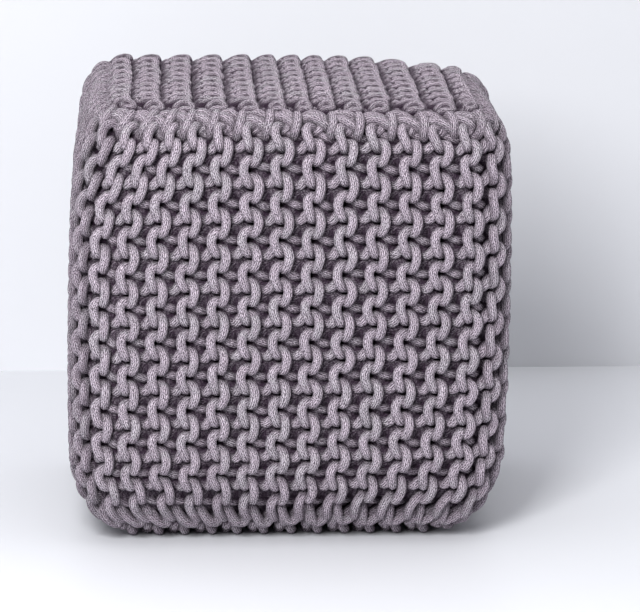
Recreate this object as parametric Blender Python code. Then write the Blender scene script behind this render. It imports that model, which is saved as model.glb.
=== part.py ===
"""A square knitted pouf: a side band and two square panels of chunky garter stitch, sewn edge to edge.

Each piece is a filled solid that carries the stitch ridges on its outer face, and the three are stacked
a hair apart at the two seams. Metres, +Z up. The pouf stands on the origin with its front towards -Y.
"""

import math
from collections import namedtuple

import bmesh
import bpy
from mathutils import Vector

# Overall size
SIDE = 0.400  # across the flats at the fullest height, over the ridges
HEIGHT = 0.4050
FULLNESS = 0.0050  # how far the side faces bow out between the seams
LEAN = 0.0203  # the pouf leans to +X by this share of the height above its middle
ASIDE = -0.0017  # the sides' middle, so that the fullest places to the left and right are as far out
CORNER_RADIUS = 0.0481  # of the upright edges, at the fullest height
CORNER_TIGHTENING = 1.50  # how fast that radius shrinks as the outline draws in
TIGHTEST_CORNER = 0.012

# Where the shape is uneven: what is near the place is pushed, less and less to about twice the reach
SWELL_TAIL = 0.01  # where less than this share of a push is left, there is none, so the base is flat
Swell = namedtuple("Swell", "place reach push")
SWELLS = (
    Swell(place=(-0.06, 0.15, 0.41), reach=0.16, push=(0, 0, 0.0035)),
    Swell(place=(0.17, 0.17, 0.40), reach=0.055, push=(0, 0, -0.011)),
    Swell(place=(0.19, 0.15, 0.385), reach=0.06, push=(0.008, 0, 0)),
    Swell(place=(-0.185, 0.15, 0.395), reach=0.06, push=(-0.003, 0, 0.003)),
    Swell(place=(-0.185, -0.165, 0.39), reach=0.045, push=(0.008, 0, 0.002)),
    Swell(place=(0.12, -0.18, 0.397), reach=0.10, push=(0, 0, -0.003)),
)

# How the faces round over: how far in and how far up the rounding reaches, and how square it is
Edge = namedtuple("Edge", "across upright power")
TOP_EDGE = Edge(across=0.0553, upright=0.0661, power=2.6)
BOTTOM_EDGE = Edge(across=0.0647, upright=0.0792, power=1.8)

# Seams
TOP_SEAM_INSET = 0.026  # from the side faces to the seam round the top panel
BOTTOM_SEAM_INSET = 0.036
SEAM_DIP = 0.004  # the stitches are drawn in along a seam
SEAM_GAP = 0.0003  # between two pieces

# Garter ridges
RIDGES_ROUND = 54  # round the band
PANEL_RIDGES = 13
RIDGE_HEIGHT = 0.006
# Places across one ridge, from valley to valley, and how deep the face lies there
RIDGE_STEPS = ((0.0, 1.0), (0.16, 0.12), (0.5, 0.0), (0.84, 0.12))
PRESSED_STEPS = ((0.0, 1.0), (0.2, 0.0), (0.5, 0.0), (0.8, 0.0))  # where the pouf stands on them

# How the ridges wander: in ridges, from even spacing
RIDGE_SHIFT = 0.144  # of the whole band round the pouf
RIDGE_CROWDING = 0.173  # closer on the left of each face than on its right
RIDGE_SPREAD = 0.316  # ridges lean outwards from the front's middle as they rise
# Where a top corner pulls the ridges aside: the ridge number there, and how far they go at the seam
Pull = namedtuple("Pull", "ridge amount")
CORNER_PULLS = (
    Pull(ridge=-7.0, amount=1.5),
    Pull(ridge=7.0, amount=-0.4),
    Pull(ridge=20.0, amount=0.6),
    Pull(ridge=34.0, amount=-0.6),
)
PULL_REACH = 3.0  # ridges to each side
PULL_START = 0.6  # of the height
TOP_SHIFT = 0.22  # the top panel's ridges lie this far to +X of even spacing
TOP_WANDER = 0.19  # and swing by this much
TOP_WAVE = 8.0  # once in this many ridges

# Levels up the band, as (part of its profile, share of that part)
BAND_LEVELS = (
    ("bottom", 0.0),
    ("bottom", 0.12),
    ("bottom", 0.35),
    ("bottom", 0.6),
    ("bottom", 1.0),
    ("face", 0.3),
    ("face", 0.55),
    ("face", 0.75),
    ("face", 0.9),
    ("top", 0.0),
    ("top", 0.4),
    ("top", 0.65),
    ("top", 0.85),
    ("top", 1.0),
)
# Levels across a panel, from its middle to its rim
PANEL_LEVELS = (0.0, 0.3, 0.55, 0.72, 0.84, 0.92, 0.97, 1.0)
RIM_FADE = 0.06  # the ridges die out over this share of a panel's half width

CORD_COLOUR = (0.40, 0.35, 0.40, 1.0)
CORD_ROUGHNESS = 0.9


def edge_point(edge, angle):
    """How far in from the face and how far along its height the rounding is at this angle."""
    inset = edge.across * (1 - math.cos(angle) ** (2 / edge.power))
    rise = edge.upright * max(0.0, math.sin(angle)) ** (2 / edge.power)
    return inset, rise


def edge_angle(edge, inset):
    """The angle at which the rounding has come in by this much."""
    return math.acos((1 - inset / edge.across) ** (edge.power / 2))


def edge_rise(edge, inset):
    """How far along the height the rounding is where it has come in by this much."""
    if inset >= edge.across:
        return edge.upright
    return edge_point(edge, edge_angle(edge, inset))[1]


TOP_SEAM_HEIGHT = HEIGHT - TOP_EDGE.upright + edge_rise(TOP_EDGE, TOP_SEAM_INSET)
BOTTOM_SEAM_HEIGHT = BOTTOM_EDGE.upright - edge_rise(BOTTOM_EDGE, BOTTOM_SEAM_INSET)


def half_width(inset, height):
    share = height / HEIGHT
    return SIDE / 2 - inset - FULLNESS * (1 - 4 * share * (1 - share))


def outline_point(half, radius, turn):
    """A point on a rounded square. turn goes from 0 at the front's middle, by +X, to 1."""
    straight = half - radius
    quarter = 2 * straight + math.pi * radius / 2
    along = (turn % 1.0) * 4 * quarter + quarter / 2
    side, along = int(along // quarter) % 4, along % quarter - quarter / 2
    if abs(along) <= straight:
        x, y = along, -half
    else:
        bend = (abs(along) - straight) / radius
        x = math.copysign(straight + radius * math.sin(bend), along)
        y = -straight - radius * math.cos(bend)
    for _ in range(side):
        x, y = -y, x
    return x, y


def swelled(x, y, height):
    """Where a point of the leaning pouf goes with the uneven places."""
    point = Vector((x + LEAN * (height - HEIGHT / 2), y, height))
    moved = point + Vector((ASIDE, 0, 0))
    for swell in SWELLS:
        away = (point - Vector(swell.place)).length
        share = max(0.0, math.exp(-((away / swell.reach) ** 2)) - SWELL_TAIL)
        moved += share * Vector(swell.push)
    return moved


def body_point(inset, height, turn):
    """A point on the pouf's outer face, this far in from the sides."""
    radius = max(CORNER_RADIUS - CORNER_TIGHTENING * inset, TIGHTEST_CORNER)
    x, y = outline_point(half_width(inset, height), radius, turn)
    return swelled(x, y, height)


def ridge_drift(ridge, height):
    """How far, in ridges, the fabric has moved along the band from even spacing."""
    angle = 2 * math.pi * ridge / RIDGES_ROUND
    rise = 2 * height / HEIGHT - 1
    drift = RIDGE_SHIFT + RIDGE_CROWDING * (1 - math.cos(2 * angle)) + RIDGE_SPREAD * rise * math.sin(angle)
    climb = max(0.0, (rise - PULL_START + 0.4) / (1.4 - PULL_START)) ** 2
    for pull in CORNER_PULLS:
        away = (ridge - pull.ridge + RIDGES_ROUND / 2) % RIDGES_ROUND - RIDGES_ROUND / 2
        drift += pull.amount * climb * math.exp(-((away / PULL_REACH) ** 2))
    return drift


def band_profile(part, share):
    """Inset and height at a level of the band."""
    if part == "bottom":
        seam = edge_angle(BOTTOM_EDGE, BOTTOM_SEAM_INSET)
        inset, rise = edge_point(BOTTOM_EDGE, seam * (1 - share))
        return inset, BOTTOM_EDGE.upright - rise
    if part == "top":
        seam = edge_angle(TOP_EDGE, TOP_SEAM_INSET)
        inset, rise = edge_point(TOP_EDGE, seam * share)
        return inset, HEIGHT - TOP_EDGE.upright + rise
    low, high = BOTTOM_EDGE.upright, HEIGHT - TOP_EDGE.upright
    return 0.0, low + (high - low) * share


def top_ridge_place(ridge):
    """Where a ridge of the top panel really lies, in ridges."""
    inside = min(1.0, max(0.0, min(ridge, PANEL_RIDGES - ridge)))
    return ridge + inside * (TOP_SHIFT - TOP_WANDER * math.cos(2 * math.pi * (ridge - 1) / TOP_WAVE))


def even_place(ridge):
    return ridge


def sunk(surface, u, v, depth, step=1e-3):
    """The surface's point at u, v, moved inwards along the face's normal."""
    across = surface(u + step, v) - surface(u - step, v)
    along = surface(u, v + step) - surface(u, v - step)
    return surface(u, v) - across.cross(along).normalized() * depth


def ridge_samples(count, steps):
    """(ridge number, depth as a share of the ridge's height) across a run of ridges."""
    return [(i + place, depth) for i in range(count) for place, depth in steps]


def new_solid(name, mesh_builder, material):
    """Adds one named object whose mesh is made by mesh_builder, with its faces pointing out."""
    bm = bmesh.new()
    mesh_builder(bm)
    bmesh.ops.triangulate(bm, faces=bm.faces)
    bmesh.ops.recalc_face_normals(bm, faces=bm.faces)
    mesh = bpy.data.meshes.new(name)
    bm.to_mesh(mesh)
    bm.free()
    mesh.shade_smooth()
    mesh.set_sharp_from_angle(angle=math.radians(50))
    mesh.materials.append(material)
    solid = bpy.data.objects.new(name, mesh)
    bpy.context.collection.objects.link(solid)


def close_with_fan(bm, loop):
    """Closes a loop of vertices with a fan about its middle."""
    middle = sum((v.co for v in loop), Vector()) / len(loop)
    hub = bm.verts.new(middle)
    for here, following in zip(loop, loop[1:] + loop[:1]):
        bm.faces.new((here, following, hub))


def side_band(bm):
    """The long strip round the four sides, from the bottom seam to the top seam."""
    samples = ridge_samples(RIDGES_ROUND, RIDGE_STEPS)
    rings = []
    for number, (part, share) in enumerate(BAND_LEVELS):
        inset, height = band_profile(part, share)
        if number in (0, len(BAND_LEVELS) - 1):
            points = [
                body_point(inset + SEAM_DIP, height, (r + ridge_drift(r, height)) / RIDGES_ROUND)
                for r, _ in samples
            ]
        else:

            def surface(ridge, level, part=part):
                place = band_profile(part, level)
                return body_point(*place, (ridge + ridge_drift(ridge, place[1])) / RIDGES_ROUND)

            points = [sunk(surface, r, share, depth * RIDGE_HEIGHT) for r, depth in samples]
        rings.append([bm.verts.new(p) for p in points])
    for lower, upper in zip(rings, rings[1:]):
        for i in range(len(samples)):
            j = (i + 1) % len(samples)
            bm.faces.new((lower[i], lower[j], upper[j], upper[i]))
    close_with_fan(bm, rings[0])
    close_with_fan(bm, rings[-1])


def panel_turn(across, along):
    """Where a point of the square panel lies round the pouf, as a turn from the front's middle."""
    reach = max(abs(across), abs(along))
    if reach == 0:
        return 0.0
    if along == -reach:
        return across / reach / 8
    if across == reach:
        return along / reach / 8 + 0.25
    if along == reach:
        return 0.5 - across / reach / 8
    return 0.75 - along / reach / 8


def panel_point(edge, seam_inset, across, along, up):
    """A point of the top panel (up = 1) or the bottom panel (up = -1). across and along go from -1 to 1."""
    reach = max(abs(across), abs(along))
    level = HEIGHT if up > 0 else 0.0
    rim_height = TOP_SEAM_HEIGHT if up > 0 else BOTTOM_SEAM_HEIGHT
    rim_half = half_width(seam_inset, rim_height)
    half = rim_half * reach
    inset = seam_inset + rim_half - half
    height = level - up * (edge.upright - edge_rise(edge, inset))
    corner = max(CORNER_RADIUS - CORNER_TIGHTENING * seam_inset, TIGHTEST_CORNER)
    softness = max(0.0, (reach - 0.7) / 0.3) ** 2
    x, y = outline_point(half, min(corner * softness, half) + 1e-9, panel_turn(across, along))
    return swelled(x, y, height)


def rim_point(seam_inset, height, across, along):
    """A point of a panel's rim, drawn in and flat at the seam."""
    return body_point(seam_inset + SEAM_DIP, height, panel_turn(across, along))


def panel(bm, edge, seam_inset, rim_height, steps, ridge_place, up):
    """A square panel whose ridges run from the front to the back."""
    samples = ridge_samples(PANEL_RIDGES, steps)
    columns = [(2 * ridge_place(ridge) / PANEL_RIDGES - 1, depth) for ridge, depth in samples]
    columns.append((1.0, 1.0))
    rows = [-level for level in reversed(PANEL_LEVELS)] + list(PANEL_LEVELS[1:])

    def surface(across, along):
        return panel_point(edge, seam_inset, across, along, up)

    grid = []
    for along in rows:
        line = []
        for across, depth in columns:
            reach = max(abs(across), abs(along))
            if reach > 1 - 1e-9:
                point = rim_point(seam_inset, rim_height, across, along)
            else:
                fade = min(1.0, (1 - reach) / RIM_FADE)
                point = sunk(surface, across, along, up * depth * fade * RIDGE_HEIGHT)
            line.append(bm.verts.new(point))
        grid.append(line)
    for near, far in zip(grid, grid[1:]):
        for i in range(len(columns) - 1):
            bm.faces.new((near[i], near[i + 1], far[i + 1], far[i]))
    right, left = [line[-1] for line in grid], [line[0] for line in grid]
    rim = grid[0] + right[1:] + grid[-1][-2::-1] + left[-2:0:-1]
    close_with_fan(bm, rim)


def top_panel(bm):
    height = TOP_SEAM_HEIGHT + SEAM_GAP
    panel(bm, TOP_EDGE, TOP_SEAM_INSET, height, RIDGE_STEPS, top_ridge_place, 1)


def bottom_panel(bm):
    height = BOTTOM_SEAM_HEIGHT - SEAM_GAP
    panel(bm, BOTTOM_EDGE, BOTTOM_SEAM_INSET, height, PRESSED_STEPS, even_place, -1)


def cord_material():
    material = bpy.data.materials.new("cotton_cord")
    material.use_nodes = True
    shader = material.node_tree.nodes["Principled BSDF"]
    shader.inputs["Base Color"].default_value = CORD_COLOUR
    shader.inputs["Roughness"].default_value = CORD_ROUGHNESS
    shader.inputs["Metallic"].default_value = 0.0
    return material


def build():
    for old in list(bpy.data.objects):
        bpy.data.objects.remove(old)
    new_solid("side_band", side_band, cord_material())
    new_solid("top_panel", top_panel, cord_material())
    new_solid("bottom_panel", bottom_panel, cord_material())


build()
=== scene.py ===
"""The knitted pouf's looks: every row of its garter stitch as one cord that is looped through its
neighbours, laid on the pouf's rounded shape, with the seams sewn in the same cord."""

import math
from collections import namedtuple

import bpy
import numpy as np
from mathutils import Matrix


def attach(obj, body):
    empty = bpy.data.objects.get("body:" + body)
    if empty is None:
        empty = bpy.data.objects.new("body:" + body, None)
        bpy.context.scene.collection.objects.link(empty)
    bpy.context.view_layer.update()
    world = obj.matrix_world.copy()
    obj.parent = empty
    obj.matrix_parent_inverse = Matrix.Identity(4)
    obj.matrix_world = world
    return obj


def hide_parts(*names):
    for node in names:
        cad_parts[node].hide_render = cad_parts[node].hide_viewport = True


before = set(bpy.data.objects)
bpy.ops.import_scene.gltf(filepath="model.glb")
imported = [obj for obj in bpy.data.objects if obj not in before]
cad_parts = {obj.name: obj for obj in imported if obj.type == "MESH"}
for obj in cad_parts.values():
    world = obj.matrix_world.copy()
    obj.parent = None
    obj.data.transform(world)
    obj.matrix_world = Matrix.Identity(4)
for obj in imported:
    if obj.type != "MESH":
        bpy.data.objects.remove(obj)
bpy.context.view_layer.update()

# ---------------------------------------------------------------- the pouf's shape, in metres

SIDE = 0.400
HEIGHT = 0.4050
FULLNESS = 0.0050  # how far the side faces bow out between the seams
LEAN = 0.0203  # to +X, as a share of the height above the middle
ASIDE = -0.0017  # of the sides' middle, to +X
CORNER_RADIUS = 0.0481  # of the upright edges, at the fullest height
CORNER_TIGHTENING = 1.50  # how fast that radius shrinks as the outline draws in
TIGHTEST_CORNER = 0.012
SHARP_WITHIN = 0.7  # of a panel's half width: squares about its middle have sharp corners up to here
TINY = 1e-9  # metres or shares, so that nothing is divided by 0

# How the faces round over: how far in and how far up the rounding reaches, and how square it is
Edge = namedtuple("Edge", "across upright power")
TOP_EDGE = Edge(across=0.0553, upright=0.0661, power=2.6)
BOTTOM_EDGE = Edge(across=0.0647, upright=0.0792, power=1.8)
TOP_SEAM_INSET = 0.026  # from the side faces to the seam round the top panel
BOTTOM_SEAM_INSET = 0.036

# Where the shape is uneven: what is near the place is pushed, less and less to about twice the reach
SWELL_TAIL = 0.01  # where less than this share of a push is left, there is none, so the base is flat
Swell = namedtuple("Swell", "place reach push")
SWELLS = (
    Swell(place=(-0.06, 0.15, 0.41), reach=0.16, push=(0, 0, 0.0035)),
    Swell(place=(0.17, 0.17, 0.40), reach=0.055, push=(0, 0, -0.011)),
    Swell(place=(0.19, 0.15, 0.385), reach=0.06, push=(0.008, 0, 0)),
    Swell(place=(-0.185, 0.15, 0.395), reach=0.06, push=(-0.003, 0, 0.003)),
    Swell(place=(-0.185, -0.165, 0.39), reach=0.045, push=(0.008, 0, 0.002)),
    Swell(place=(0.12, -0.18, 0.397), reach=0.10, push=(0, 0, -0.003)),
)

# ---------------------------------------------------------------- the fabric

RIDGES_ROUND = 54  # each garter ridge is two rows of stitches
STITCHES_UP = 12.33
LOW_STRETCH = 0.259  # how fast the stitches lengthen towards the bottom seam
LOW_STRETCH_FROM = 1.5  # stitches up
HIGH_STRETCH = 0.0135  # and how fast towards the top seam
HIGH_STRETCH_FROM = 7.5
PANEL_RIDGES = 13
PANEL_STITCHES = 10
TOP_START = 0.35  # the top panel's first stitches lie this far in from its front edge, in stitches

# How the ridges wander: in ridges, from even spacing
RIDGE_SHIFT = 0.144  # of the whole band round the pouf
RIDGE_CROWDING = 0.173  # closer on the left of each face than on its right
RIDGE_SPREAD = 0.316  # ridges lean outwards from the front's middle as they rise
# Where a top corner pulls the ridges aside: the ridge number there, and how far they go at the seam
Pull = namedtuple("Pull", "ridge amount")
CORNER_PULLS = (
    Pull(ridge=-7.0, amount=1.5),
    Pull(ridge=7.0, amount=-0.4),
    Pull(ridge=20.0, amount=0.6),
    Pull(ridge=34.0, amount=-0.6),
)
PULL_REACH = 3.0  # ridges to each side
PULL_START = 0.6  # of the height
TOP_SHIFT = 0.22  # the top panel's ridges lie this far to +X of even spacing, in ridges
TOP_WANDER = 0.19  # and swing by this much
TOP_WAVE = 8.0  # once in this many ridges

LAST_LEAN = 0.30  # the last stitches lean outwards by this share of a ridge per stitch
LAST_LEAN_FROM = 10.8  # stitches up

CORD_RADIUS = 0.0046
CORD_SIDES = 8
ROW_WANDER = 0.05  # how uneven the rows are, in ridges and stitches
THICKNESS_WANDER = 0.04  # how uneven the cord's thickness is, as a share of it
THICKNESS_GRID = (97, 211)  # rows and steps after which its noise repeats
THICKNESS_STEP = 0.23  # of that grid from one ring of the cord to the next
TUCKED = 0.35  # the rows go on for this part of a stitch under a seam
TUCK_SLOPE = 0.03  # and go down by this per stitch
SEAM_GROOVE = 0.0015  # how deep the rows are drawn in at a seam, in metres
GROOVE_REACH = 0.25  # stitches
SEAM_SHADE_WIDENING = 0.3  # near a seam the painted shade beside a strand is wider by this share of the strand's radius
SEAM_SHADE_REACH = 1.0  # stitches
LEFT_SHADE_WIDENING = 0.3  # and all over the left face, which the wider painted shade makes darker
HIDDEN_WIDENING = 1.2  # strands behind the face are thicker by this share, to close the gaps between the outer strands, where they show dark with painted shade
HIDDEN_FROM = 0.012  # metres under the outer strands
HIDDEN_WITHIN = 0.005
NORMAL_STEP = 0.12  # how far to each side a face's slope is taken, in ridges and stitches

# One stitch of each row of a ridge. across is in ridges from the ridge's middle, down is in stitches,
# deep is in millimetres under the outer face, and rings is how many rings of the row's cord follow.
Bend = namedtuple("Bend", "across down deep rings", defaults=(1,))
HEAD_ROW = (
    Bend(-0.70, -0.50, 17.6),
    Bend(-0.67, -0.27, 16.8),
    Bend(-0.55, -0.11, 13.0),
    Bend(-0.42, -0.09, 7.6, 2),
    Bend(-0.34, -0.15, 5.0),
    Bend(-0.26, -0.25, 5.8),
    Bend(-0.14, -0.33, 8.0),
    Bend(0.02, -0.34, 8.0),
    Bend(0.15, -0.30, 4.6, 2),
    Bend(0.205, -0.235, 0.6, 2),
    Bend(0.245, -0.07, -1.4, 2),
    Bend(0.208, 0.10, -1.3, 2),
    Bend(0.15, 0.235, 0.6, 2),
    Bend(0.08, 0.285, 4.6, 2),
    Bend(-0.02, 0.26, 9.0),
    Bend(-0.14, 0.12, 12.0),
    Bend(-0.28, 0.04, 13.5),
    Bend(-0.42, 0.05, 13.8),
    Bend(-0.54, 0.12, 14.8),
    Bend(-0.66, 0.30, 16.8),
)
SINKER_ROW = (
    Bend(0.735, 0.15, 17.6),
    Bend(0.71, 0.40, 16.8),
    Bend(0.60, 0.52, 13.4),
    Bend(0.47, 0.47, 9.4, 2),
    Bend(0.32, 0.42, 9.0),
    Bend(0.20, 0.34, 9.4),
    Bend(0.10, 0.23, 8.4),
    Bend(0.0, 0.19, 5.5, 2),
    Bend(-0.09, 0.20, 2.2, 2),
    Bend(-0.175, 0.255, 0.2, 2),
    Bend(-0.228, 0.38, -1.2, 2),
    Bend(-0.215, 0.52, -1.5, 2),
    Bend(-0.155, 0.67, -1.2, 2),
    Bend(-0.10, 0.79, 0.4, 2),
    Bend(-0.05, 0.845, 3.8),
    Bend(0.03, 0.87, 8.0),
    Bend(0.14, 0.87, 10.8),
    Bend(0.30, 0.84, 12.8),
    Bend(0.46, 0.84, 14.8),
    Bend(0.62, 0.92, 16.8),
)
# On the top panel the strands cross the ridge at its crest, one after another like scales
TOP_HEAD_ROW = (
    Bend(-0.62, -0.38, 12.0),
    Bend(-0.53, -0.34, 6.0),
    Bend(-0.44, -0.32, 2.7),
    Bend(-0.34, -0.32, 1.0, 2),
    Bend(-0.20, -0.33, -0.9, 2),
    Bend(-0.02, -0.31, -1.7, 2),
    Bend(0.11, -0.26, -1.5, 2),
    Bend(0.19, -0.15, 0.4, 2),
    Bend(0.18, 0.0, 4.6, 2),
    Bend(0.07, 0.14, 9.0),
    Bend(-0.08, 0.25, 14.0),
    Bend(-0.25, 0.30, 17.0),
    Bend(-0.45, 0.38, 17.5),
    Bend(-0.60, 0.50, 16.5),
)
TOP_SINKER_ROW = (
    Bend(0.68, 0.02, 10.5),
    Bend(0.61, 0.12, 5.0),
    Bend(0.53, 0.20, 2.3),
    Bend(0.45, 0.27, 3.8),
    Bend(0.36, 0.33, 8.5),
    Bend(0.22, 0.34, 9.5),
    Bend(0.05, 0.33, 3.8),
    Bend(-0.08, 0.34, 0.9, 2),
    Bend(-0.19, 0.40, -0.8, 2),
    Bend(-0.245, 0.50, -0.9, 2),
    Bend(-0.22, 0.60, 0.8, 2),
    Bend(-0.12, 0.67, 4.5),
    Bend(0.06, 0.72, 7.5),
    Bend(0.28, 0.76, 6.8),
    Bend(0.46, 0.82, 7.2),
    Bend(0.62, 0.92, 10.5),
)
# From sunk_from stitches up, a row lies under the strands of the band's upper seam
NEVER = math.inf
Row = namedtuple("Row", "bends sunk_from")
BAND_ROWS = (Row(HEAD_ROW, 11.60), Row(SINKER_ROW, 11.98))
TOP_ROWS = (Row(TOP_HEAD_ROW, NEVER), Row(TOP_SINKER_ROW, NEVER))
SUNK_BY = 7.0  # millimetres
SUNK_WITHIN = 0.25  # stitches

# At the band's edges, across is counted from the valley between two ridges. A strand of the sewing cord
# stands in each valley at the upper seam,
TOP_TURN = (
    Bend(-0.02, 0.0, 8.0),
    Bend(0.03, 0.10, 1.2),
    Bend(0.05, 0.23, -1.2),
    Bend(0.04, 0.42, -1.5),
    Bend(0.0, 0.58, -0.6),
    Bend(-0.04, 0.70, 2.5),
    Bend(-0.06, 0.78, 8.0),
)
# and two more cross each ridge there, one lower and one higher
LOW_BAR = (
    Bend(0.07, 0.32, 8.0),
    Bend(0.17, 0.30, 2.6),
    Bend(0.32, 0.29, 0.4),
    Bend(0.50, 0.33, -0.2),
    Bend(0.67, 0.41, 0.4),
    Bend(0.83, 0.50, 2.6),
    Bend(0.94, 0.55, 8.0),
)
HIGH_BAR = (
    Bend(0.02, 0.15, 8.0),
    Bend(0.16, 0.10, 4.0),
    Bend(0.32, 0.04, 2.6),
    Bend(0.48, 0.03, 2.2),
    Bend(0.66, 0.08, 2.4),
    Bend(0.84, 0.16, 4.0),
    Bend(0.96, 0.22, 8.0),
)
# At the lower seam one bend of cord joins the rows on both sides of a valley
BOTTOM_TURN = (
    Bend(-0.42, -0.52, 10.0),
    Bend(-0.34, -0.40, 3.5),
    Bend(-0.20, -0.20, -0.5),
    Bend(0.0, -0.10, -1.5),
    Bend(0.20, -0.16, -0.8),
    Bend(0.33, -0.32, 2.5),
    Bend(0.38, -0.45, 9.0),
)
# The knot that ends a ridge at the top panel's front edge, with across from the ridge's middle
PANEL_KNOT = (
    Bend(-0.32, -0.06, 9.0),
    Bend(-0.26, -0.22, 2.5),
    Bend(-0.13, -0.33, -0.6),
    Bend(0.03, -0.34, -1.5),
    Bend(0.17, -0.26, -0.4),
    Bend(0.20, -0.13, 1.4),
    Bend(0.08, -0.09, 0.8),
    Bend(-0.08, -0.09, 0.8),
    Bend(-0.22, -0.02, 4.0),
)

# Where the knitting of each side begins and ends, in ridges from the front's middle, and how much wider
# the painted shade beside its strands is, as a share of their radius
Side = namedtuple("Side", "name first last tightness")
SIDES = (
    Side("knit_front", -7, 7, 0.0),
    Side("knit_right", 7, 20, 0.0),
    Side("knit_back", 20, 34, 0.0),
    Side("knit_left", 34, 47, LEFT_SHADE_WIDENING),
)
# Where the strands of each seam lie, in stitches up, and how uneven they are, as a share of a ridge and
# of their own size
Seam = namedtuple("Seam", "name table stitches wander")
BAND_SEAMS = (
    Seam("turns_top", TOP_TURN, STITCHES_UP, 0.09),
    Seam("low_bars", LOW_BAR, STITCHES_UP, 0.09),
    Seam("high_bars", HIGH_BAR, STITCHES_UP, 0.12),
    Seam("turns_bottom", BOTTOM_TURN, 0.0, 0.07),
)
PANEL_FRONT = Seam("knots_top", PANEL_KNOT, 0.0, 0.09)
UP_WANDER = 0.6  # up and down they are uneven by this share of that
TURN_STEPS = 3  # rings of their cord from one point to the next

RNG = np.random.default_rng(7)


# ---------------------------------------------------------------- shape


def unit(vectors):
    return vectors / np.linalg.norm(vectors, axis=-1, keepdims=True)


def smoothly(share):
    """0 at 0 and 1 at 1, level at both."""
    return share * share * (3 - 2 * share)


def edge_rise(edge, inset):
    """How far along the height the rounding is where it has come in by this much."""
    inset = np.clip(inset, 0.0, edge.across)
    return edge.upright * (1 - (1 - inset / edge.across) ** edge.power) ** (1 / edge.power)


TOP_SEAM_HEIGHT = HEIGHT - TOP_EDGE.upright + float(edge_rise(TOP_EDGE, TOP_SEAM_INSET))
BOTTOM_SEAM_HEIGHT = BOTTOM_EDGE.upright - float(edge_rise(BOTTOM_EDGE, BOTTOM_SEAM_INSET))


def half_width(inset, height):
    """From the pouf's middle to its side faces, this far in from them."""
    share = height / HEIGHT
    return SIDE / 2 - inset - FULLNESS * (1 - 4 * share * (1 - share))


def outline_points(half, radius, turn):
    """Points on a rounded square. turn goes from 0 at the front's middle, by +X, to 1."""
    straight = half - radius
    quarter = 2 * straight + math.pi * radius / 2
    along = (turn % 1.0) * 4 * quarter + quarter / 2
    side = np.floor(along / quarter).astype(int) % 4
    along = along % quarter - quarter / 2
    bend = np.maximum(np.abs(along) - straight, 0) / radius
    reach = np.minimum(np.abs(along), straight)
    x = np.copysign(reach + radius * np.sin(bend), along)
    y = -straight - radius * np.cos(bend)
    cos, sin = np.array([1, 0, -1, 0])[side], np.array([0, 1, 0, -1])[side]
    return cos * x - sin * y, sin * x + cos * y


def ridge_drift(ridge, height):
    """How far, in ridges, the fabric has moved along the band from even spacing."""
    angle = 2 * math.pi * ridge / RIDGES_ROUND
    rise = 2 * height / HEIGHT - 1
    drift = RIDGE_SHIFT + RIDGE_CROWDING * (1 - np.cos(2 * angle)) + RIDGE_SPREAD * rise * np.sin(angle)
    start = 2 * PULL_START - 1
    climb = np.maximum(0.0, (rise - start) / (1 - start)) ** 2
    for pull in CORNER_PULLS:
        away = (ridge - pull.ridge + RIDGES_ROUND / 2) % RIDGES_ROUND - RIDGES_ROUND / 2
        drift = drift + pull.amount * climb * np.exp(-((away / PULL_REACH) ** 2))
    return drift


def swelled(points):
    """The points, moved by the uneven places."""
    moved = points + (ASIDE, 0, 0)
    for swell in SWELLS:
        away = np.sum((points - swell.place) ** 2, -1, keepdims=True)
        share = np.maximum(0.0, np.exp(-away / swell.reach**2) - SWELL_TAIL)
        moved += share * np.array(swell.push)
    return moved


def band_profile_table(samples=600):
    """Insets and heights up the band's face, with the length along it."""
    low = BOTTOM_SEAM_INSET * np.linspace(1, 0, samples) ** 2
    high = TOP_SEAM_INSET * np.linspace(0, 1, samples) ** 2
    inset = np.concatenate([low, high])
    height = np.concatenate(
        [
            BOTTOM_EDGE.upright - edge_rise(BOTTOM_EDGE, low),
            HEIGHT - TOP_EDGE.upright + edge_rise(TOP_EDGE, high),
        ]
    )
    length = np.concatenate([[0], np.cumsum(np.hypot(np.diff(inset), np.diff(height)))])
    return length, inset, height


PROFILE_LENGTH, PROFILE_INSET, PROFILE_HEIGHT = band_profile_table()


def stitch_place(up):
    """How far along the band a stitch lies, in even stitches."""
    low = np.maximum(0, LOW_STRETCH_FROM - up)
    high = np.maximum(0, up - HIGH_STRETCH_FROM)
    return up - LOW_STRETCH * low**2 + HIGH_STRETCH * high**2


def band_face(ridge, up):
    """Points of the band's outer face. up is in stitches from the bottom seam."""
    low, high = stitch_place(0.0), stitch_place(STITCHES_UP)
    along = (stitch_place(up) - low) / (high - low) * PROFILE_LENGTH[-1]
    inset = np.interp(along, PROFILE_LENGTH, PROFILE_INSET)
    height = np.interp(along, PROFILE_LENGTH, PROFILE_HEIGHT)
    radius = np.maximum(CORNER_RADIUS - CORNER_TIGHTENING * inset, TIGHTEST_CORNER)
    lean = LAST_LEAN * np.maximum(0, up - LAST_LEAN_FROM) * np.sin(2 * math.pi * ridge / RIDGES_ROUND)
    turn = (ridge + ridge_drift(ridge, height) + lean) / RIDGES_ROUND
    x, y = outline_points(half_width(inset, height), radius, turn)
    return swelled(np.stack([x + LEAN * (height - HEIGHT / 2), y, height], -1))


def panel_turn(across, along):
    """Where points of a square panel lie round the pouf, as a turn from the front's middle."""
    reach = np.maximum(np.maximum(np.abs(across), np.abs(along)), TINY)
    back = np.where(along >= reach, 0.5 - across / reach / 8, 0.75 - along / reach / 8)
    sides = np.where(across >= reach, along / reach / 8 + 0.25, back)
    return np.where(along <= -reach, across / reach / 8, sides)


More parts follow.
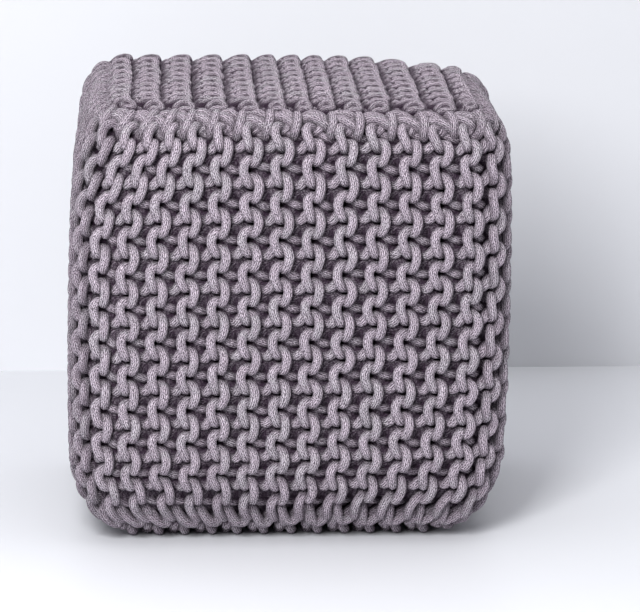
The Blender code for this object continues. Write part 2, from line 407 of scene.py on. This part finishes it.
def panel_face(edge, seam_inset, rim_height, up, across, along):
    """Points of the top panel (up = 1) or the bottom panel (up = -1), from -1 to 1 each way."""
    across, along = np.broadcast_arrays(across, along)
    reach = np.maximum(np.abs(across), np.abs(along))
    rim_half = half_width(seam_inset, rim_height)
    half = np.maximum(rim_half * reach, 1e-6)  # a micrometre, so that the middle has a place too
    inset = seam_inset + rim_half - half
    level = HEIGHT if up > 0 else 0.0
    height = level - up * (edge.upright - edge_rise(edge, inset))
    corner = max(CORNER_RADIUS - CORNER_TIGHTENING * seam_inset, TIGHTEST_CORNER)
    softness = np.clip((reach - SHARP_WITHIN) / (1 - SHARP_WITHIN), 0, 1) ** 2
    radius = np.minimum(corner * softness, half) + TINY
    x, y = outline_points(half, radius, panel_turn(across, along))
    return swelled(np.stack([x + LEAN * (height - HEIGHT / 2), y, height], -1))


def top_face(ridge, up):
    """Points of the top panel. ridge counts from its left edge, and up in stitches from its front edge."""
    inside = np.clip(np.minimum(ridge, PANEL_RIDGES - ridge), 0, 1)
    wave = np.cos(2 * math.pi * (ridge - 1) / TOP_WAVE)
    ridge = ridge + inside * (TOP_SHIFT - TOP_WANDER * wave)
    across, along = 2 * ridge / PANEL_RIDGES - 1, 2 * up / PANEL_STITCHES - 1
    return panel_face(TOP_EDGE, TOP_SEAM_INSET, TOP_SEAM_HEIGHT, 1, across, along)


def bottom_face(ridge, up):
    """Points of the bottom panel. ridge counts from its right edge, and up in stitches from its front."""
    across, along = 1 - 2 * ridge / PANEL_RIDGES, 2 * up / PANEL_STITCHES - 1
    return panel_face(BOTTOM_EDGE, BOTTOM_SEAM_INSET, BOTTOM_SEAM_HEIGHT, -1, across, along)


def on_face(face, ridge, up, deep):
    """Points this far under a face along its normal, and the normals."""
    side = face(ridge + NORMAL_STEP, up) - face(ridge - NORMAL_STEP, up)
    rise = face(ridge, up + NORMAL_STEP) - face(ridge, up - NORMAL_STEP)
    normal = unit(np.cross(side, rise))
    return face(ridge, up) - normal * deep[..., None], normal


# ---------------------------------------------------------------- cords

NOT_ALONG_A_CORD = (0.31, 0.17, 0.93)  # a direction in which no cord sets out


def soft_noise(size, x, y):
    """Smooth noise of about -1 to 1 over a grid of this size, at points in grid steps."""
    grid = RNG.uniform(-1, 1, size)
    xi, yi = np.floor(x).astype(int), np.floor(y).astype(int)
    fx, fy = smoothly(x - xi), smoothly(y - yi)

    def at(i, j):
        return grid[(xi + i) % size[0], (yi + j) % size[1]]

    low = at(0, 0) * (1 - fx) + at(1, 0) * fx
    high = at(0, 1) * (1 - fx) + at(1, 1) * fx
    return low * (1 - fy) + high * fy


def smooth_between(before, start, end, after, t):
    """The Catmull-Rom curve from start to end, at the share t of the way."""
    return 0.5 * (
        2 * start
        + (end - before) * t
        + (2 * before - 5 * start + 4 * end - after) * t**2
        + (3 * start - before - 3 * end + after) * t**3
    )


def smooth_path(bends, stitches):
    """Points along a smooth row of stitches: across, down and deep."""
    points = np.array([(b.across, b.down, b.deep) for b in bends])
    count = len(points)
    rows = np.concatenate([points + (0, k, 0) for k in range(-1, stitches + 1)])
    path = []
    for k in range(count, count * (stitches + 1)):
        before, start, end, after = rows[k - 1 : k + 3]
        for step in range(bends[k % count].rings):
            t = step / bends[k % count].rings
            path.append(smooth_between(before, start, end, after, t))
    return np.array(path)


def tube_rings(centres, radii):
    """Rings of points round several centrelines at once, with as little twist as the bends allow."""
    ahead = unit(np.gradient(centres, axis=1))
    side = unit(np.cross(ahead[:, 0], NOT_ALONG_A_CORD))
    sides = np.empty_like(centres)
    sides[:, 0] = side
    for k in range(1, centres.shape[1]):
        side = unit(side - ahead[:, k] * np.sum(side * ahead[:, k], -1, keepdims=True))
        sides[:, k] = side
    third = np.cross(ahead, sides)
    angle = 2 * math.pi * np.arange(CORD_SIDES) / CORD_SIDES
    ring = sides[:, :, None] * np.cos(angle)[:, None] + third[:, :, None] * np.sin(angle)[:, None]
    return centres[:, :, None] + ring * radii[:, :, None, None]


def cord_mesh(name, centres, radii, outward, deep, tight, material):
    """One piece made of several cords, with a UV map of turns round the cord by its length in metres, how
    deep each point lies under the pouf's outer face, and its side of the cord: 1 outwards, -1 inwards,
    and less where the painted shade beside the strand is made wider."""
    rings = tube_rings(centres, radii)
    lift = np.sum((rings - centres[:, :, None]) * outward[:, :, None], -1)
    depth = deep[:, :, None] - lift
    side = lift / radii[:, :, None] - tight[:, :, None]
    rings[..., 2] = np.maximum(rings[..., 2], 0.0)  # pressed flat on the floor
    rows = len(rings)
    index = np.arange(rings[..., 0].size).reshape(rings.shape[:3])
    here, there = index[:, :-1], index[:, 1:]
    quads = np.stack([here, np.roll(here, -1, 2), np.roll(there, -1, 2), there], -1).reshape(-1, 4)
    lengths = np.linalg.norm(np.diff(centres, axis=1), axis=-1)
    lengths = np.concatenate([np.zeros((rows, 1)), np.cumsum(lengths, 1)], 1)
    turn = np.arange(CORD_SIDES) / CORD_SIDES
    low = np.broadcast_to(lengths[:, :-1, None], here.shape)
    high = np.broadcast_to(lengths[:, 1:, None], here.shape)
    start = np.broadcast_to(turn, here.shape)
    end = start + 1 / CORD_SIDES
    uv = np.stack([start, low, end, low, end, high, start, high], -1)
    mesh = bpy.data.meshes.new(name)
    mesh.vertices.add(index.size)
    mesh.vertices.foreach_set("co", rings.reshape(-1).astype(np.float32))
    mesh.loops.add(quads.size)
    mesh.loops.foreach_set("vertex_index", quads.reshape(-1).astype(np.int32))
    mesh.polygons.add(len(quads))
    mesh.polygons.foreach_set("loop_start", np.arange(0, quads.size, 4, dtype=np.int32))
    mesh.update(calc_edges=True)
    layer = mesh.uv_layers.new(name="cord")
    layer.data.foreach_set("uv", uv.reshape(-1).astype(np.float32))
    for label, values in (("depth", depth), ("side", side)):
        attribute = mesh.attributes.new(label, "FLOAT", "POINT")
        attribute.data.foreach_set("value", values.reshape(-1).astype(np.float32))
    mesh.shade_smooth()
    mesh.materials.append(material)
    piece = bpy.data.objects.new(name, mesh)
    bpy.context.collection.objects.link(piece)
    return piece


def knit(name, rows_of_bends, face, ridges, stitches, first, last, material, start=0.0, tightness=0.0):
    """The rows of stitches of the ridges first to last, as one piece. start moves them up, in stitches."""
    rows = []
    top = math.ceil(stitches)
    for row in rows_of_bends:
        path = smooth_path(row.bends, top + 1)
        path[:, 1] = top + start - path[:, 1]
        sunk = np.clip((path[:, 1] - row.sunk_from) / SUNK_WITHIN, 0, 1)
        path[:, 2] += SUNK_BY * smoothly(sunk)
        path = path[(path[:, 1] < stitches + TUCKED) & (path[:, 1] > -TUCKED)]
        for ridge in range(first, last):
            rows.append(path + (ridge + 0.5, 0, 0))
    length = min(len(r) for r in rows)
    rows = np.array([r[:length] for r in rows])
    ridge, up, deep = rows[..., 0], rows[..., 1], rows[..., 2] / 1000
    size = (2 * ridges, 2 * math.ceil(stitches) + 4)
    ridge = ridge + ROW_WANDER * soft_noise(size, 2 * ridge, 2 * up)
    up = up + ROW_WANDER * soft_noise(size, 2 * ridge, 2 * up)
    over = np.maximum(np.maximum(-up, up - stitches), 0)
    to_seam = np.minimum(np.abs(up), np.abs(stitches - up))
    groove = SEAM_GROOVE * np.exp(-((to_seam / GROOVE_REACH) ** 2))
    deep = deep + CORD_RADIUS + TUCK_SLOPE * over + groove
    up = np.clip(up, 0, stitches)
    centres, outward = on_face(face, ridge, up, deep)
    uneven = soft_noise(THICKNESS_GRID, *np.indices(up.shape) * THICKNESS_STEP)
    radii = CORD_RADIUS * (1 + THICKNESS_WANDER * uneven)
    hidden = np.clip((deep - CORD_RADIUS - HIDDEN_FROM) / HIDDEN_WITHIN, 0, 1)
    radii = radii * (1 + HIDDEN_WIDENING * hidden)
    # the painted shade beside the strands is wider near the seams, and over the faces that are given more
    tight = tightness + SEAM_SHADE_WIDENING * np.exp(-((to_seam / SEAM_SHADE_REACH) ** 2))
    return cord_mesh(name, centres, radii, outward, deep, tight, material)


def edge_turns(seam, face, places, most, material):
    """One short strand of cord at each place along a seam, as one piece."""
    bends = np.array([(bend.across, -bend.down, bend.deep) for bend in seam.table])
    count = len(bends)
    fine = np.linspace(0, count - 1, TURN_STEPS * (count - 1) + 1)
    low = np.minimum(fine.astype(int), count - 2)
    t = (fine - low)[:, None]
    padded = np.vstack([2 * bends[0] - bends[1], bends, 2 * bends[-1] - bends[-2]])
    before, start, end, after = (padded[low + k] for k in range(4))
    path = smooth_between(before, start, end, after, t)
    shift = seam.wander * RNG.uniform(-1, 1, (len(places), 2))
    size = 1 + seam.wander * RNG.uniform(-1, 1, (len(places), 1))
    ridge = np.array(places)[:, None] + shift[:, :1] + size * path[:, 0]
    up = seam.stitches + shift[:, 1:] * UP_WANDER + size * path[:, 1]
    deep = CORD_RADIUS + path[:, 2] / 1000 + TUCK_SLOPE * np.maximum(np.maximum(-up, up - most), 0)
    centres, outward = on_face(face, ridge, np.clip(up, 0, most), deep)
    radii = np.full(up.shape, CORD_RADIUS)
    # the seams' strands all have the wider painted shade beside them
    tight = np.full(up.shape, SEAM_SHADE_WIDENING)
    return cord_mesh(seam.name, centres, radii, outward, deep, tight, material)


# ---------------------------------------------------------------- materials

CORD_COLOUR = (0.444, 0.381, 0.445)
GREYER_COLOUR = (0.425, 0.386, 0.432)
# The colour that painted shade darkens the cord towards, more lilac than the cord
PAINTED_SHADE_COLOUR = (0.021, 0.007, 0.022)
GREYER_SCALE = 10.0  # a metre, for the noise that mixes the two
GREYER_RANGE = (0.4, 0.7)
BRAID_COLUMNS = 14.0  # round the cord
BRAID_FLECK = 0.0033  # metres from one fleck to the next
BRAID_SLANT = 1.1
FLECK_POWER = 0.6  # the less, the fuller a fleck is along the cord
COLUMN_POWER = 0.5  # and across a column
WOBBLE_SCALE = 260.0
WOBBLE = 2.0  # flecks
FIBRE_SCALE = 1300.0
BRAID_RELIEF = 0.0016
RELIEF_STRENGTH = 0.8
FIBRE_RELIEF = 0.3  # of the plait's
# Painted shade in the plait's grooves and painted highlight on its crests
GROOVE_RANGE = (0.2, 0.95)  # of the plait's height
GROOVE_SHADE = 0.2
CREST_SHADE = 1.38
# The fibre noise paints dark specks of shade in the pits between the fibres and lightens the rest
FIBRE_RANGE = (0.32, 0.52)
SPECK_SHADE = 0.32
FIBRE_SHADE = 1.14
PATCH_SCALE = 9.0
PATCH_RANGE = (0.3, 0.7)
PATCH_CONTRAST = 0.05
# Painted shade: a strand darkens on its flanks as it goes deeper under the outer face, nearly to black in
# the hollows between the stitches, and at its sides where it meets the next strand. The top panel has its
# own values.
FLANK_START = 0.0  # metres under the outer face
FLANK_END = 0.005
FLANK_SHADE = 0.95
TOP_FLANK_START = 0.0026
TOP_FLANK_SHADE = 0.3
SIDE_SHADE = 0.62  # painted shade on the sides of a strand, where it meets the next
TOP_SIDE_SHADE = 0.25
SIDE_RANGE = (0.15, 0.80)  # from a strand's flank to its outer face
CAVITY_START = 0.0075  # metres under the outer face
CAVITY_END = 0.0145
CAVITY_DARKEST = 0.06
TOP_CAVITY_DARKEST = 0.16
COTTON = {
    "Roughness": 0.95,
    "Specular IOR Level": 0.08,
    "Sheen Weight": 0.03,
    "Sheen Roughness": 0.6,
}


def node_group(name, inputs, outputs):
    """A new shader node group with its sockets, as (name, socket kind, default) rows."""
    group = bpy.data.node_groups.new(name, "ShaderNodeTree")
    for label, kind, value in inputs:
        socket = group.interface.new_socket(label, in_out="INPUT", socket_type="NodeSocket" + kind)
        socket.default_value = value
    for label, kind in outputs:
        group.interface.new_socket(label, in_out="OUTPUT", socket_type="NodeSocket" + kind)
    return group, group.nodes.new("NodeGroupInput"), group.nodes.new("NodeGroupOutput")


class Net:
    """Short ways to add shader nodes to one node tree."""

    def __init__(self, tree):
        self.tree = tree

    def put(self, value, socket):
        """Links a node's output to the socket, or sets the socket to a number."""
        if isinstance(value, bpy.types.NodeSocket):
            self.tree.links.new(value, socket)
        else:
            socket.default_value = value

    def math(self, operation, *values):
        node = self.tree.nodes.new("ShaderNodeMath")
        node.operation = operation
        for value, socket in zip(values, node.inputs):
            self.put(value, socket)
        return node.outputs[0]

    def ramp(self, value, low, high, start=0.0, end=1.0):
        """value from low to high becomes start to end, smoothly and held beyond."""
        node = self.tree.nodes.new("ShaderNodeMapRange")
        node.interpolation_type = "SMOOTHSTEP"
        for number, socket in zip((value, low, high, start, end), node.inputs):
            self.put(number, socket)
        return node.outputs[0]

    def attribute(self, name):
        node = self.tree.nodes.new("ShaderNodeAttribute")
        node.attribute_name = name
        return node.outputs["Fac"]

    def noise(self, scale, detail, where=None):
        node = self.tree.nodes.new("ShaderNodeTexNoise")
        node.inputs["Scale"].default_value = scale
        node.inputs["Detail"].default_value = detail
        if where is not None:
            self.tree.links.new(where, node.inputs["Vector"])
        return node.outputs["Fac"]

    def mixed(self, factor, first, second):
        """first at 0 and second at 1, and on beyond them."""
        node = self.tree.nodes.new("ShaderNodeMix")
        node.data_type = "VECTOR"
        node.clamp_factor = False
        self.put(factor, node.inputs["Factor"])
        self.put(first, node.inputs[4])
        self.put(second, node.inputs[5])
        return node.outputs[1]


def braid_group():
    """The plaited face of a cord: short plump flecks in columns that slant one way and the other."""
    group, inputs, outputs = node_group(
        "braid",
        [
            ("Columns", "Float", BRAID_COLUMNS),
            ("Fleck", "Float", BRAID_FLECK),
            ("Slant", "Float", BRAID_SLANT),
        ],
        [("Height", "Float"), ("Fibre", "Float")],
    )
    net = Net(group)
    uv = group.nodes.new("ShaderNodeUVMap")
    uv.uv_map = "cord"
    split = group.nodes.new("ShaderNodeSeparateXYZ")
    group.links.new(uv.outputs[0], split.inputs[0])
    where = group.nodes.new("ShaderNodeTexCoord").outputs["Object"]
    wobble = net.math("SUBTRACT", net.noise(WOBBLE_SCALE, 1.0, where), 0.5)
    column = net.math("MULTIPLY", split.outputs[0], inputs.outputs["Columns"])
    number = net.math("FLOOR", column)
    across = net.math("SUBTRACT", net.math("FRACT", column), 0.5)
    side = net.math("SUBTRACT", net.math("MULTIPLY", net.math("MODULO", number, 2.0), 2.0), 1.0)
    along = net.math("DIVIDE", split.outputs[1], inputs.outputs["Fleck"])
    slope = net.math("MULTIPLY", net.math("MULTIPLY", side, across), inputs.outputs["Slant"])
    place = net.math("ADD", net.math("ADD", along, slope), net.math("MULTIPLY", wobble, WOBBLE))
    lengthways = net.math("ABSOLUTE", net.math("SINE", net.math("MULTIPLY", place, math.pi)))
    edge = net.math("MULTIPLY", net.math("MULTIPLY", across, across), 4.0)
    sideways = net.math("SUBTRACT", 1.0, edge)
    fleck = net.math("POWER", lengthways, FLECK_POWER)
    height = net.math("MULTIPLY", fleck, net.math("POWER", sideways, COLUMN_POWER))
    group.links.new(height, outputs.inputs["Height"])
    group.links.new(net.noise(FIBRE_SCALE, 2.0, where), outputs.inputs["Fibre"])
    return group


def cavity_shade_group():
    """How much of its colour a point keeps under the painted shade: darker on the strands' flanks, nearly
    black deep between the stitches, and darker at the sides of a strand where it meets the next.
    """
    group, inputs, outputs = node_group(
        "cavity_shade_nodes",
        [
            ("Flank Start", "Float", FLANK_START),
            ("Flank End", "Float", FLANK_END),
            ("Flank Shade", "Float", FLANK_SHADE),
            ("Start", "Float", CAVITY_START),
            ("End", "Float", CAVITY_END),
            ("Darkest", "Float", CAVITY_DARKEST),
            ("Side Shade", "Float", SIDE_SHADE),
        ],
        [("Keep", "Float")],
    )
    net = Net(group)
    given = inputs.outputs
    depth = net.attribute("depth")
    flank = net.ramp(depth, given["Flank Start"], given["Flank End"], 1.0, given["Flank Shade"])
    hollow = net.ramp(depth, given["Start"], given["End"], 1.0, given["Darkest"])
    crease = net.ramp(net.attribute("side"), *SIDE_RANGE, given["Side Shade"], 1.0)
    keep = net.math("MULTIPLY", net.math("MULTIPLY", flank, hollow), crease)
    group.links.new(keep, outputs.inputs["Keep"])
    return group


def cord_material(name, braid, cavity_shade_nodes, **shades):
    """Matt cotton cord, lilac grey, with a plaited face, darkened by painted shade and lightened by
    painted highlights, and more lilac where the painted shade is darker.
    """
    material = bpy.data.materials.new(name)
    material.use_nodes = True
    tree = material.node_tree
    net = Net(tree)
    shader = tree.nodes["Principled BSDF"]
    plait = tree.nodes.new("ShaderNodeGroup")
    plait.node_tree = braid
    cavity_shade = tree.nodes.new("ShaderNodeGroup")
    cavity_shade.node_tree = cavity_shade_nodes
    for label, value in shades.items():
        cavity_shade.inputs[label].default_value = value
    # Painted shade in the plait's grooves and painted highlight on its crests, dark specks of painted
    # shade between the fibres, and patches of tone that differ at random
    groove = net.ramp(plait.outputs["Height"], *GROOVE_RANGE, GROOVE_SHADE, CREST_SHADE)
    fibre = net.ramp(plait.outputs["Fibre"], *FIBRE_RANGE, SPECK_SHADE, FIBRE_SHADE)
    patchy = net.noise(PATCH_SCALE, 2.0)
    patch = net.ramp(patchy, *PATCH_RANGE, 1 - PATCH_CONTRAST, 1 + PATCH_CONTRAST)
    shade_and_tone = net.math("MULTIPLY", net.math("MULTIPLY", groove, fibre), patch)
    greyer = net.ramp(net.noise(GREYER_SCALE, 1.0), *GREYER_RANGE)
    tint = net.mixed(greyer, CORD_COLOUR, GREYER_COLOUR)
    # The painted shade mixes the colour towards the painted shade colour, and the painted highlights
    # beyond the cord's colour, less lilac
    colour = net.mixed(net.math("MULTIPLY", cavity_shade.outputs["Keep"], shade_and_tone), PAINTED_SHADE_COLOUR, tint)
    net.put(colour, shader.inputs["Base Color"])
    for label, value in COTTON.items():
        shader.inputs[label].default_value = value
    bump = tree.nodes.new("ShaderNodeBump")
    bump.inputs["Strength"].default_value = RELIEF_STRENGTH
    bump.inputs["Distance"].default_value = BRAID_RELIEF
    fibres = net.math("MULTIPLY", plait.outputs["Fibre"], FIBRE_RELIEF)
    net.put(net.math("ADD", plait.outputs["Height"], fibres), bump.inputs["Height"])
    net.put(bump.outputs["Normal"], shader.inputs["Normal"])
    return material


# ---------------------------------------------------------------- the pieces


def build_pouf():
    braid, cavity_shade_nodes = braid_group(), cavity_shade_group()
    material = cord_material("cord", braid, cavity_shade_nodes)
    # The top panel's cord is a copy of the cord with stronger painted shade in its creases and on its
    # flanks, and lighter painted shade deep in its hollows
    top_shades = {
        "Flank Start": TOP_FLANK_START,
        "Flank Shade": TOP_FLANK_SHADE,
        "Darkest": TOP_CAVITY_DARKEST,
        "Side Shade": TOP_SIDE_SHADE,
    }
    top_shaded_material = cord_material("top_cord", braid, cavity_shade_nodes, **top_shades)
    pieces = []
    band = (BAND_ROWS, band_face, RIDGES_ROUND, STITCHES_UP)
    for side in SIDES:
        piece = knit(side.name, *band, side.first, side.last, material, tightness=side.tightness)
        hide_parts("side_band")
        pieces.append(piece)
    panel = (PANEL_RIDGES, PANEL_STITCHES, 0, PANEL_RIDGES)
    top = knit("knit_top", TOP_ROWS, top_face, *panel, top_shaded_material, TOP_START)
    middles = [ridge + 0.5 for ridge in range(PANEL_RIDGES)]
    knots = edge_turns(PANEL_FRONT, top_face, middles, PANEL_STITCHES, top_shaded_material)
    for piece in (top, knots):
        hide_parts("top_panel")
    bottom = knit("knit_bottom", BAND_ROWS, bottom_face, *panel, material)
    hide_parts("bottom_panel")
    valleys = list(range(RIDGES_ROUND))
    seams = [edge_turns(seam, band_face, valleys, STITCHES_UP, material) for seam in BAND_SEAMS]
    for piece in seams:
        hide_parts("side_band")
    for piece in pieces + seams + [top, knots, bottom]:
        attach(piece, "root")


# ---------------------------------------------------------------- the room, the lights and the camera

CAMERA_DISTANCE = 3.5
CAMERA_HEIGHT = 0.84
CAMERA_TURN = 0.0285  # radians from straight ahead
CAMERA_LENS = 211.2  # millimetres
SENSOR_WIDTH = 36
AIM_RIGHT = math.radians(0.550)  # of the pouf's middle
AIM_DOWN = math.radians(0.247)

WALL_AT = 0.62
WALL_TOP = 3.0
FLOOR_FRONT = -3.0
ROOM_SIDE = 4.0
FLOOR_DROP = 0.0002  # between the pouf and the floor
ROOM_COLOUR = (0.69, 0.70, 0.735, 1)

LIT_AT = (0, 0, 0.2)
KEY_TURN = math.radians(14)  # to the left of straight ahead
KEY_RISE = math.radians(29)
KEY_DISTANCE = 2.2
KEY_SIZE = (0.55, 1.05)
KEY_WATTS = 56
OVERHEAD_AT = (0.0, -0.3, 2.6)
OVERHEAD_SIZE = (2.5, 2.5)
OVERHEAD_WATTS = 29
WORLD_COLOUR = (0.98, 0.98, 1.0, 1)
WORLD_STRENGTH = 0.36


def make_camera():
    data = bpy.data.cameras.new("camera")
    data.lens = CAMERA_LENS
    data.sensor_width = SENSOR_WIDTH
    camera = bpy.data.objects.new("camera", data)
    bpy.context.collection.objects.link(camera)
    camera.location = (
        ASIDE - CAMERA_DISTANCE * math.sin(CAMERA_TURN),
        -CAMERA_DISTANCE * math.cos(CAMERA_TURN),
        CAMERA_HEIGHT,
    )
    pitch = math.atan2(CAMERA_HEIGHT - HEIGHT / 2, CAMERA_DISTANCE) + AIM_DOWN
    camera.rotation_euler = (math.pi / 2 - pitch, 0, -CAMERA_TURN - AIM_RIGHT)
    bpy.context.scene.camera = camera


def room_material():
    """Pale paint. From behind, the camera sees through it."""
    material = bpy.data.materials.new("room")
    material.use_nodes = True
    tree = material.node_tree
    net = Net(tree)
    shader = tree.nodes["Principled BSDF"]
    shader.inputs["Base Color"].default_value = ROOM_COLOUR
    behind = tree.nodes.new("ShaderNodeNewGeometry").outputs["Backfacing"]
    seen = tree.nodes.new("ShaderNodeLightPath").outputs["Is Camera Ray"]
    clear = tree.nodes.new("ShaderNodeBsdfTransparent")
    either = tree.nodes.new("ShaderNodeMixShader")
    net.put(net.math("MULTIPLY", behind, seen), either.inputs[0])
    net.put(shader.outputs[0], either.inputs[1])
    net.put(clear.outputs[0], either.inputs[2])
    net.put(either.outputs[0], tree.nodes["Material Output"].inputs["Surface"])
    return material


def make_room():
    """A floor and one wall."""
    mesh = bpy.data.meshes.new("room")
    outline = [(FLOOR_FRONT, 0.0), (WALL_AT, 0.0), (WALL_AT, WALL_TOP)]
    verts = [(x, y, z - FLOOR_DROP) for y, z in outline for x in (-ROOM_SIDE, ROOM_SIDE)]
    faces = [(2 * i, 2 * i + 1, 2 * i + 3, 2 * i + 2) for i in range(len(outline) - 1)]
    mesh.from_pydata(verts, [], faces)
    room = bpy.data.objects.new("room", mesh)
    bpy.context.collection.objects.link(room)
    mesh.materials.append(room_material())


def add_light(name, size, watts, at):
    """An area light that faces the pouf."""
    data = bpy.data.lights.new(name, "AREA")
    data.shape = "RECTANGLE"
    data.size, data.size_y = size
    data.energy = watts
    light = bpy.data.objects.new(name, data)
    bpy.context.collection.objects.link(light)
    light.location = at
    way = np.array(LIT_AT) - np.array(at)
    light.rotation_euler = (
        math.atan2(math.hypot(way[0], way[1]), -way[2]),
        0,
        math.atan2(-way[0], way[1]),
    )


def make_lights():
    level = KEY_DISTANCE * math.cos(KEY_RISE)
    key_at = (
        -level * math.sin(KEY_TURN),
        -level * math.cos(KEY_TURN),
        LIT_AT[2] + KEY_DISTANCE * math.sin(KEY_RISE),
    )
    add_light("key", KEY_SIZE, KEY_WATTS, key_at)
    add_light("overhead", OVERHEAD_SIZE, OVERHEAD_WATTS, OVERHEAD_AT)
    world = bpy.data.worlds.new("world")
    bpy.context.scene.world = world
    world.use_nodes = True
    background = world.node_tree.nodes["Background"]
    background.inputs["Color"].default_value = WORLD_COLOUR
    background.inputs["Strength"].default_value = WORLD_STRENGTH


def main():
    bpy.context.scene.view_settings.view_transform = "Standard"
    make_camera()
    build_pouf()
    make_room()
    make_lights()


main()
